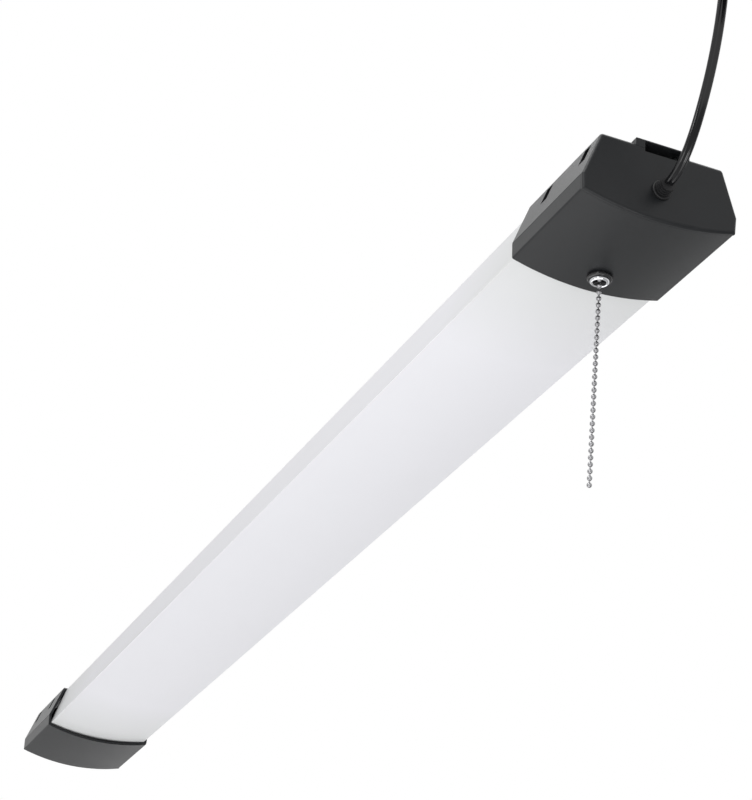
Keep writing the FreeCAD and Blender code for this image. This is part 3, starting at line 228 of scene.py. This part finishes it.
def grained(name, colour, roughness, scale, depth, drift, **sockets):
    """A material whose colour, roughness and normal come through the fine grain."""
    made, tree, shader = surface(name, colour, roughness, **sockets)
    grain = tree.nodes.new("ShaderNodeGroup")
    grain.name = "grain"
    grain.node_tree = fine_grain
    for label, value in (("Colour", (*colour, 1)), ("Scale", scale), ("Depth", depth),
                         ("Roughness", roughness), ("Drift", drift)):
        grain.inputs[label].default_value = value
    for label, socket in (("Colour", "Base Color"), ("Roughness", "Roughness"),
                          ("Normal", "Normal")):
        tree.links.new(grain.outputs[label], shader.inputs[socket])
    return made


jacket_black = grained("glossy_black_jacket", (0.006, 0.006, 0.007), 0.13, 260, 0.05, 0.25,
                       Specular_IOR_Level=0.42)
cord_data.materials.append(jacket_black)
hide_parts("supply_cord", "cord_coil")
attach(cord, "root")

# --- Floor, lights and background --------------------------------------------------------------
# A pale studio: a floor that is clear from below, broad soft lights under, beside and above the
# light, two small ones off its near end, and a white surround.
floor_span, floor_height, floor_glow = 9, -1.5, 0.34
bpy.ops.object.select_all(action="DESELECT")
bpy.ops.mesh.primitive_plane_add(size=floor_span, location=(0, 0, floor_height))
floor = bpy.context.object
floor.name = "studio_floor"
floor_paint, tree, shader = surface("pale_floor", (0.8, 0.8, 0.8), 0.8)
shader.inputs["Emission Color"].default_value = (1, 1, 1, 1)
floor_rays = tree.nodes.new("ShaderNodeLightPath").outputs
glow = reckoned(tree, "MULTIPLY", floor_rays["Is Camera Ray"], floor_glow)
tree.links.new(glow, shader.inputs["Emission Strength"])
facing = tree.nodes.new("ShaderNodeNewGeometry")
clear = tree.nodes.new("ShaderNodeBsdfTransparent")
choice = tree.nodes.new("ShaderNodeMixShader")
tree.links.new(facing.outputs["Backfacing"], choice.inputs["Fac"])
tree.links.new(shader.outputs["BSDF"], choice.inputs[1])
tree.links.new(clear.outputs["BSDF"], choice.inputs[2])
tree.links.new(choice.outputs["Shader"], tree.nodes["Material Output"].inputs["Surface"])
floor.data.materials.append(floor_paint)

# The surround is full white to the eye and in reflections, and lights the object more gently.
surround_light = 0.38
world = bpy.data.worlds.new("white_surround")
bpy.context.scene.world = world
world.use_nodes = True
tree = world.node_tree
sky = tree.nodes["Background"]
sky.inputs["Color"].default_value = (1, 1, 1, 1)
rays = tree.nodes.new("ShaderNodeLightPath").outputs
reflected = reckoned(tree, "MAXIMUM", rays["Is Glossy Ray"], rays["Is Transmission Ray"])
seen = reckoned(tree, "MAXIMUM", rays["Is Camera Ray"], reflected)
strength = reckoned(tree, "MULTIPLY_ADD", seen, 1 - surround_light, surround_light)
tree.links.new(strength, sky.inputs["Strength"])

# Each lamp is a square: its name, its place, what it looks at, its width and its power.
for name, spot, aim, width, power in (
        ("soft_under", (0.7, -0.4, -1.35), (0.4, 0, -0.03), 1.8, 12),
        ("soft_far", (-0.7, -0.3, -1.3), (-0.5, 0, -0.03), 1.5, 9),
        ("soft_side", (0.85, -1.1, 1.2), (0.4, 0, -0.02), 0.9, 11),
        ("small_front", (1.1, 0.1, -0.95), (0.6, 0, -0.03), 0.3, 1),
        ("small_left", (1.5, -1.0, -0.45), (0.64, 0, 0.02), 0.3, 3),
        ("soft_above", (-0.2, 0.2, 2.0), (0, 0, 0), 2.0, 24)):
    lamp_data = bpy.data.lights.new(name, "AREA")
    lamp_data.size = width
    lamp_data.energy = power
    lamp = placed(name, lamp_data)
    lamp.location = spot
    lamp.rotation_euler = (Vector(aim) - Vector(spot)).to_track_quat("-Z", "Y").to_euler()
bpy.context.scene.view_settings.view_transform = "Standard"

# --- Housings ----------------------------------------------------------------------------------
# Each end is a pair of grey injection mouldings with a fine spark-eroded grain. The seam
# between them runs along the side, and the upper one carries the hook bridge.


def finish_nodes(finish, *names):
    """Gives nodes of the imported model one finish."""
    for name in names:
        nodes[name].data.materials.clear()
        nodes[name].data.materials.append(finish)


housing_grey = grained("grained_grey_moulding", (0.0125, 0.0135, 0.015), 0.36, 2600, 0.3, 0.12,
                       Specular_IOR_Level=0.28)
finish_nodes(housing_grey, "near_upper_shell", "far_upper_shell", "near_lower_cover",
             "far_lower_cover")

# --- Diffuser ----------------------------------------------------------------------------------
# A white wrap extruded from milky plastic, crowned below, its sides leaning in to the tray.
# Its colour is painted greyer towards both ends, as painted shade where it runs into the dark
# housings.
milk_white, end_shade_grey = (0.8, 0.8, 0.835), (0.69, 0.7, 0.7)
end_shade_from, end_shade_to = 0.4, 0.52
milky = grained("milky_extrusion", milk_white, 0.4, 60, 0.03, 0.02)
tree = milky.node_tree
place = tree.nodes.new("ShaderNodeTexCoord")
apart = tree.nodes.new("ShaderNodeSeparateXYZ")
tree.links.new(place.outputs["Object"], apart.inputs[0])
# Towards both ends the colour mixes to the grey: painted shade near the housings, not the plastic's
# own colour.
shade = tree.nodes.new("ShaderNodeMapRange")
shade.inputs["From Min"].default_value = end_shade_from
shade.inputs["From Max"].default_value = end_shade_to
tree.links.new(reckoned(tree, "ABSOLUTE", apart.outputs["X"]), shade.inputs["Value"])
painted_end_shade = tree.nodes.new("ShaderNodeMix")
painted_end_shade.data_type = "RGBA"
painted_end_shade.inputs["A"].default_value = (*milk_white, 1)
painted_end_shade.inputs["B"].default_value = (*end_shade_grey, 1)
tree.links.new(shade.outputs["Result"], painted_end_shade.inputs["Factor"])
tree.links.new(painted_end_shade.outputs["Result"], tree.nodes["grain"].inputs["Colour"])
finish_nodes(milky, "diffuser")

# --- Tray and light boards ---------------------------------------------------------------------
# A folded sheet channel in white enamel. Two long boards of small yellow chips are riveted
# along its underside.
enamel = grained("white_enamel", (0.8, 0.8, 0.81), 0.3, 700, 0.08, 0.04)
board_mask = grained("white_board_mask", (0.78, 0.78, 0.76), 0.35, 1500, 0.05, 0.05)
chip_yellow = grained("chip_phosphor", (0.72, 0.55, 0.14), 0.3, 3000, 0.1, 0.1)
zinc = grained("zinc_plate", (0.55, 0.55, 0.56), 0.34, 1800, 0.12, 0.15, Metallic=1)
finish_nodes(enamel, "back_tray")
finish_nodes(board_mask, "led_board_left", "led_board_right")
finish_nodes(chip_yellow, "led_chips_left", "led_chips_right")
finish_nodes(zinc, "board_rivets")

# --- Driver and wiring -------------------------------------------------------------------------
# A small brown board hung on nylon posts in the near housing, with its cans and blocks below it,
# and the leads that run from it to the supply, the switch and the light boards.
laminate = grained("brown_laminate", (0.35, 0.22, 0.08), 0.45, 500, 0.1, 0.2)
fibre = grained("fibre_sheet", (0.6, 0.58, 0.5), 0.7, 900, 0.3, 0.15)
nylon = grained("natural_nylon", (0.68, 0.68, 0.63), 0.4, 700, 0.08, 0.06)
sleeve = grained("black_sleeve", (0.02, 0.02, 0.022), 0.35, 400, 0.1, 0.2)
ferrite = grained("wound_ferrite", (0.09, 0.08, 0.08), 0.6, 1200, 0.3, 0.3)
dipped = grained("red_dip", (0.3, 0.04, 0.02), 0.2, 200, 0.1, 0.15)
white_lead = grained("white_lead", (0.7, 0.7, 0.68), 0.35, 500, 0.05, 0.06)
finish_nodes(laminate, "driver_board")
finish_nodes(fibre, "driver_insulator")
finish_nodes(nylon, "driver_standoffs", "supply_terminal", "led_connector")
finish_nodes(sleeve, "driver_capacitor", "supply_leads", "switch_lead")
finish_nodes(ferrite, "driver_transformer", "driver_choke")
finish_nodes(dipped, "film_capacitor")
finish_nodes(white_lead, "led_leads")

# --- Pull switch -------------------------------------------------------------------------------
# A black base and cover hold a nylon drum on its axle, a brass rotor between two brass spring
# contacts, and a wound return spring. A threaded brass nipple leads the chain out below.
brass = grained("plain_brass", (0.62, 0.42, 0.16), 0.3, 1500, 0.1, 0.2, Metallic=1)
finish_nodes(sleeve, "switch_base", "switch_cover")
finish_nodes(nylon, "chain_drum")
finish_nodes(zinc, "drum_axle", "return_spring")
finish_nodes(brass, "contact_rotor", "switch_contact_near", "switch_contact_mouth",
             "switch_nipple")

# --- Pull chain --------------------------------------------------------------------------------
# Hollow nickel-plated beads, 3.2 mm across, rolled round short dumb-bell links. The lowest thirty
# hang below the bead that turns in the bell's mouth.
chain_x, bead_count, bead_radius, bead_pitch = 0.5351, 30, 0.0016, 0.00435
lowest_bead, top_bead = -0.18045, -0.04995
eye_from, eye_rim, eye_roll, eye_sink = 0.93, 0.00008, 0.00006, 0.00012
link_outline = [(0.00145, 0.00062), (0.0016, 0.00048), (0.00208, 0.00043), (0.00256, 0.00048),
                (0.0027, 0.00062)]


def pick_faces(piece, test):
    """Selects the faces whose middle and normal pass the test, and no others."""
    bpy.ops.mesh.select_mode(type="FACE")
    bpy.ops.mesh.select_all(action="DESELECT")
    form = bmesh.from_edit_mesh(piece.data)
    for face in form.faces:
        face.select_set(test(face.calc_center_median(), face.normal))
    bmesh.update_edit_mesh(piece.data)


def settled():
    """The newest object, with its place, turn and size taken into its mesh."""
    bpy.ops.object.transform_apply(location=True, rotation=True, scale=True)
    return bpy.context.object


def bead(height):
    """One bead at its height, its two eyes rolled in where the links enter."""
    bpy.ops.object.select_all(action="DESELECT")
    bpy.ops.mesh.primitive_uv_sphere_add(segments=24, ring_count=14, radius=bead_radius,
                                         location=(chain_x, 0, height))
    ball = settled()
    bpy.ops.object.mode_set(mode="EDIT")
    for way in (1, -1):
        pick_faces(ball, lambda spot, normal: (spot.z - height) * way > bead_radius * eye_from)
        bpy.ops.mesh.inset(thickness=eye_rim, depth=-eye_roll)
        bpy.ops.transform.translate(value=(0, 0, -way * eye_sink))
    bpy.ops.object.mode_set(mode="OBJECT")
    return ball


def drawn_out(centre, axis, stations, sides):
    """A turned form: a disc carried along its axis through stations of distance and radius."""
    centre, axis = Vector(centre), Vector(axis)
    first, radius = stations[0]
    bpy.ops.object.select_all(action="DESELECT")
    bpy.ops.mesh.primitive_circle_add(vertices=sides, radius=radius, fill_type="NGON",
                                      location=centre + axis * first,
                                      rotation=axis.to_track_quat("Z", "Y").to_euler())
    made = settled()
    bpy.ops.object.mode_set(mode="EDIT")
    bpy.ops.mesh.select_all(action="SELECT")
    for (before, was), (after, wide) in zip(stations, stations[1:]):
        bpy.ops.mesh.extrude_region_move(
            TRANSFORM_OT_translate={"value": axis * (after - before)})
        bpy.ops.transform.resize(value=[wide / was] * 3, center_override=centre + axis * after)
    bpy.ops.mesh.select_all(action="SELECT")
    bpy.ops.mesh.normals_make_consistent(inside=False)
    bpy.ops.object.mode_set(mode="OBJECT")
    return made


def joined(pieces):
    """One object out of several, under the first one's mesh."""
    bpy.ops.object.select_all(action="DESELECT")
    for piece in pieces:
        piece.select_set(True)
    bpy.context.view_layer.objects.active = pieces[0]
    bpy.ops.object.join()
    return pieces[0]


def dressed(piece, name, finish, body, slot, *stood_for):
    """Names and finishes a piece and enters it on its body in place of its plain solid."""
    bpy.ops.object.select_all(action="DESELECT")
    piece.select_set(True)
    bpy.context.view_layer.objects.active = piece
    bpy.ops.object.shade_smooth_by_angle(angle=math.radians(38))
    piece.name = name
    piece.data.materials.clear()
    piece.data.materials.append(finish)
    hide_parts(*stood_for)
    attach(piece, body)
    finish_nodes(finish, *stood_for)


nickel = grained("dull_nickel", (0.34, 0.34, 0.35), 0.3, 1400, 0.08, 0.3, Metallic=1)
first_link = drawn_out((chain_x, 0, lowest_bead), (0, 0, 1), link_outline, 12)
chain = joined([bead(lowest_bead), first_link])
row = chain.modifiers.new("row", "ARRAY")
row.count = bead_count
row.use_relative_offset = False
row.use_constant_offset = True
row.constant_offset_displace = (0, 0, bead_pitch)
bpy.ops.object.modifier_apply(modifier="row")
dressed(chain, "bead_chain", nickel, "hanging_chain", "chain_nickel", "pull_chain")
dressed(bead(top_bead), "swivel_bead_ball", nickel, "swivel", "chain_nickel", "swivel_bead")
finish_nodes(nickel, "switch_chain")

# --- Nut ---------------------------------------------------------------------------------------
# A nut moulded in glossy black holds the switch in the lower cover. Its rim is fluted for the
# fingers, and it is screwed up the nipple from below.
nut_top, nut_under, nut_radius, nut_bore = -0.04365, -0.04625, 0.00775, 0.0049
nut_edge, nut_round = 0.0003, 0.0009
nut_sides, sides_per_flute = 72, 3
flute_rim, flute_depth = 0.00006, 0.00022
nut_outline = [(nut_top, nut_bore), (nut_top, nut_radius - nut_edge),
               (nut_top - nut_edge, nut_radius), (nut_under + nut_round, nut_radius),
               (nut_under + nut_edge, nut_radius - nut_edge),
               (nut_under, nut_radius - nut_round), (nut_under, nut_bore), (nut_top, nut_bore)]


def on_flute(spot, normal):
    """Whether a face is the third of its flute's faces that is pressed in."""
    turn = math.atan2(spot.y, spot.x - chain_x) / math.tau + 1
    reach = math.hypot(spot.x - chain_x, spot.y)
    return (abs(normal.z) < 0.1 and reach > nut_radius * 0.98
            and int(turn * nut_sides) % sides_per_flute == 0)


def opened(piece):
    """Takes the discs out of a turned form whose last station is its first, and closes it."""
    bpy.ops.object.mode_set(mode="EDIT")
    pick_faces(piece, lambda spot, normal: abs(normal.z) > 0.99
               and abs(spot.x - chain_x) + abs(spot.y) < 0.0001)
    bpy.ops.mesh.delete(type="FACE")
    bpy.ops.mesh.select_all(action="SELECT")
    bpy.ops.mesh.remove_doubles(threshold=0.00001)
    bpy.ops.mesh.normals_make_consistent(inside=False)
    bpy.ops.object.mode_set(mode="OBJECT")
    return piece


gloss_black = grained("gloss_black_moulding", (0.011, 0.011, 0.012), 0.16, 900, 0.05, 0.2,
                      Specular_IOR_Level=0.6)
nut = drawn_out((chain_x, 0, 0), (0, 0, 1), nut_outline, nut_sides)
bpy.ops.object.mode_set(mode="EDIT")
pick_faces(nut, on_flute)
bpy.ops.mesh.inset(thickness=flute_rim, depth=-flute_depth, use_individual=True)
dressed(opened(nut), "fluted_nut", gloss_black, "root", "nut_black", "nipple_nut")

# --- Bell --------------------------------------------------------------------------------------
# Below the nut a small chromed bell guides the chain. It is spun from sheet with a rolled lip, and
# its neck stands up in the nipple. Its inside is painted dark as shade.
bell_top, bell_lip = -0.0463, -0.0483
bell_radius, bell_mouth, bell_neck = 0.006, 0.0042, 0.0042
throat_low, throat_high, throat_radius = -0.0464, -0.0445, 0.0032
neck_top, neck_outer, neck_inner = -0.0393, 0.0034, 0.0024
shoulder_inset, shoulder_drop, band_drop = 0.0004, 0.0003, 0.0009
lip_roll = ((0.0006, 0.0003), (0.0002, 0.0007), (0, 0.0011))
mouth_roll = ((0.0001, 0.0003), (0.0004, 0))
bore_shade_from = 0.0003
bell_outline = [(neck_top, neck_outer), (bell_top, bell_neck),
                (bell_top, bell_radius - shoulder_inset), (bell_top - shoulder_drop, bell_radius),
                (bell_top - band_drop, bell_radius)]
bell_outline += [(bell_lip + rise, bell_radius - inset) for rise, inset in lip_roll]
bell_outline += [(bell_lip + rise, bell_mouth + outset) for rise, outset in mouth_roll]
bell_outline += [(throat_low, throat_radius), (throat_high, neck_inner), (neck_top, neck_inner),
                 (neck_top, neck_outer)]
chrome = grained("bright_chrome", (0.72, 0.73, 0.75), 0.08, 1500, 0.02, 0.12, Metallic=1)
bell = opened(drawn_out((chain_x, 0, 0), (0, 0, 1), bell_outline, 48))
dressed(bell, "chrome_bell", chrome, "root", "ferrule_chrome", "bell_ferrule")
# The faces inside the mouth take the gloss black: painted shade in the chrome bore, not a dark
# part.
bell.data.materials.append(gloss_black)
for face in bell.data.polygons:
    in_shaded_bore = math.hypot(face.center.x - chain_x, face.center.y) < bell_mouth
    face.material_index = int(in_shaded_bore and face.center.z > bell_lip + bore_shade_from)

# --- Strain relief -----------------------------------------------------------------------------
# A black bushing snapped into the end wall: a flange outside, a ribbed tail that tapers along the
# cord, and a catch inside the wall.
relief_outline = [(0.5985, 0.0054), (0.6002, 0.0061), (0.6034, 0.0061), (0.6035, 0.0051),
                  (0.6095, 0.0051), (0.6096, 0.006), (0.61, 0.0062), (0.6109, 0.0062),
                  (0.6113, 0.0058)]
tail_start, tail_end, tail_radius = 0.6114, 0.6185, 0.0038
rib_count, rib_pitch, rib_radius, rib_taper = 4, 0.0018, 0.0051, 0.00022
groove_width, groove_depth, rib_from, rib_to = 0.0007, 0.0006, 0.0008, 0.0016
for rib in range(rib_count):
    root, wide = tail_start + rib * rib_pitch, rib_radius - rib * rib_taper
    relief_outline += [(root, wide - groove_depth), (root + groove_width, wide - groove_depth),
                       (root + rib_from, wide), (root + rib_to, wide)]
relief_outline += [(tail_end, tail_radius)]
soft_black = grained("soft_black_moulding", (0.012, 0.012, 0.013), 0.5, 700, 0.1, 0.2,
                     Specular_IOR_Level=0.3)
relief = drawn_out((0, 0, cord_exit.z), (1, 0, 0), relief_outline, 40)
dressed(relief, "ribbed_strain_relief", soft_black, "root", "cord_black", "strain_relief")

# --- Case screws -------------------------------------------------------------------------------
# Zinc-plated pan-head screws with a cross recess. Four are driven down through each roof and
# the tray into the posts of the lower cover.
screw_places = ((0.5305, 0.03), (0.5305, -0.03), (0.5785, 0.03), (0.5785, -0.03))
head_under, head_top, head_rim, head_radius = 0.0029, 0.0048, 0.0009, 0.0031
shank_length, shank_radius, tip_radius = 0.0141, 0.0016, 0.0012
recess_span, recess_width, recess_depth = 0.0036, 0.0007, 0.0024
head_dome = ((0.0005, 0.92), (0.0001, 0.72), (0, 0.5))
screw_outline = [(head_under - shank_length, tip_radius), (head_under, shank_radius),
                 (head_under, head_radius), (head_under + head_rim, head_radius)]
screw_outline += [(head_top - drop, head_radius * share) for drop, share in head_dome]
for end, label in ((1, "near"), (-1, "far")):
    screws = []
    for x, y in screw_places:
        screw = drawn_out((x * end, y, 0), (0, 0, 1), screw_outline, 32)
        for size in ((recess_span, recess_width, recess_depth),
                     (recess_width, recess_span, recess_depth)):
            bpy.ops.object.select_all(action="DESELECT")
            bpy.ops.mesh.primitive_cube_add(size=1, scale=size, location=(x * end, y, head_top))
            blade = bpy.context.object
            cut = screw.modifiers.new("recess", "BOOLEAN")
            cut.operation = "DIFFERENCE"
            cut.solver = "EXACT"
            cut.object = blade
            bpy.context.view_layer.objects.active = screw
            bpy.ops.object.modifier_apply(modifier="recess")
            bpy.data.objects.remove(blade)
        screws.append(screw)
    dressed(joined(screws), f"{label}_cross_screws", zinc, "root", "screw_steel",
            f"{label}_case_screws")

# --- Plug --------------------------------------------------------------------------------------
# A two-pole plug moulded on the cord in the jacket's black, its grip hollowed at the sides and
# its neck ribbed, with two plain brass blades.
grip_x, grip_y, grip_low, grip_high = 0.6763, 0.007, 0.1314, 0.1544
grip_thick, grip_wide = 0.014, 0.025
shoulder_width, neck_share = 0.0028, (0.93, 0.42, 1)
neck_ribs = 3
rib_steps = ((0.0007, 0.9), (0.0001, 1.16), (0.0014, 1), (0.0001, 0.86))
hollow_low, hollow_high = grip_low + 0.004, grip_low + 0.019
hollow_bands, band_height = 6, 0.003
hollow_rim, hollow_depth = 0.0012, 0.0006
bpy.ops.object.select_all(action="DESELECT")
bpy.ops.mesh.primitive_cube_add(size=1, scale=(grip_thick, grip_wide, grip_high - grip_low),
                                location=(grip_x, grip_y, (grip_low + grip_high) / 2))
plug = settled()
bpy.ops.object.mode_set(mode="EDIT")
pick_faces(plug, lambda spot, normal: normal.z < -0.9)
bpy.ops.mesh.inset(thickness=shoulder_width)
bpy.ops.transform.resize(value=neck_share, center_override=(grip_x, grip_y, grip_low))
for drop, swell in rib_steps * neck_ribs:
    bpy.ops.mesh.extrude_region_move(TRANSFORM_OT_translate={"value": (0, 0, -drop)})
    bpy.ops.transform.resize(value=(swell, swell, 1), center_override=(grip_x, grip_y, 0))
for band in range(hollow_bands):
    bpy.ops.mesh.select_all(action="SELECT")
    bpy.ops.mesh.bisect(plane_co=(grip_x, grip_y, hollow_low + band * band_height),
                        plane_no=(0, 0, 1))
pick_faces(plug, lambda spot, normal: abs(normal.x) > 0.9 and hollow_low < spot.z < hollow_high)
bpy.ops.mesh.inset(thickness=hollow_rim, depth=-hollow_depth, use_individual=True)
bpy.ops.object.mode_set(mode="OBJECT")
soften = plug.modifiers.new("soft_edges", "BEVEL")
soften.width = 0.0011
soften.segments = 3
soften.angle_limit = math.radians(50)
bpy.ops.object.modifier_apply(modifier="soft_edges")
dressed(plug, "moulded_plug", jacket_black, "root", "cord_black", "plug_body")
finish_nodes(brass, "plug_blades")

# --- Coil tie ----------------------------------------------------------------------------------
# A flexible black strap, closed round the wound turns to hold them together. Its four corners
# are rounded where it bends round the jacket.
strap_corner, strap_thickness = 0.0024, 0.0008
tie_low, tie_high = (Vector(corner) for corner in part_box("coil_tie"))
bpy.ops.object.select_all(action="DESELECT")
bpy.ops.mesh.primitive_cube_add(size=1, scale=tie_high - tie_low,
                                location=(tie_low + tie_high) / 2)
tie = settled()
bpy.ops.object.mode_set(mode="EDIT")
pick_faces(tie, lambda spot, normal: abs(normal.z) > 0.9)
bpy.ops.mesh.delete(type="FACE")
bpy.ops.object.mode_set(mode="OBJECT")
corners = tie.modifiers.new("round_corners", "BEVEL")
corners.width = strap_corner
corners.segments = 5
bpy.ops.object.modifier_apply(modifier="round_corners")
wall = tie.modifiers.new("strap_wall", "SOLIDIFY")
wall.thickness = strap_thickness
wall.offset = -1
bpy.ops.object.modifier_apply(modifier="strap_wall")
dressed(tie, "strap_tie", sleeve, "root", "switch_black", "coil_tie")
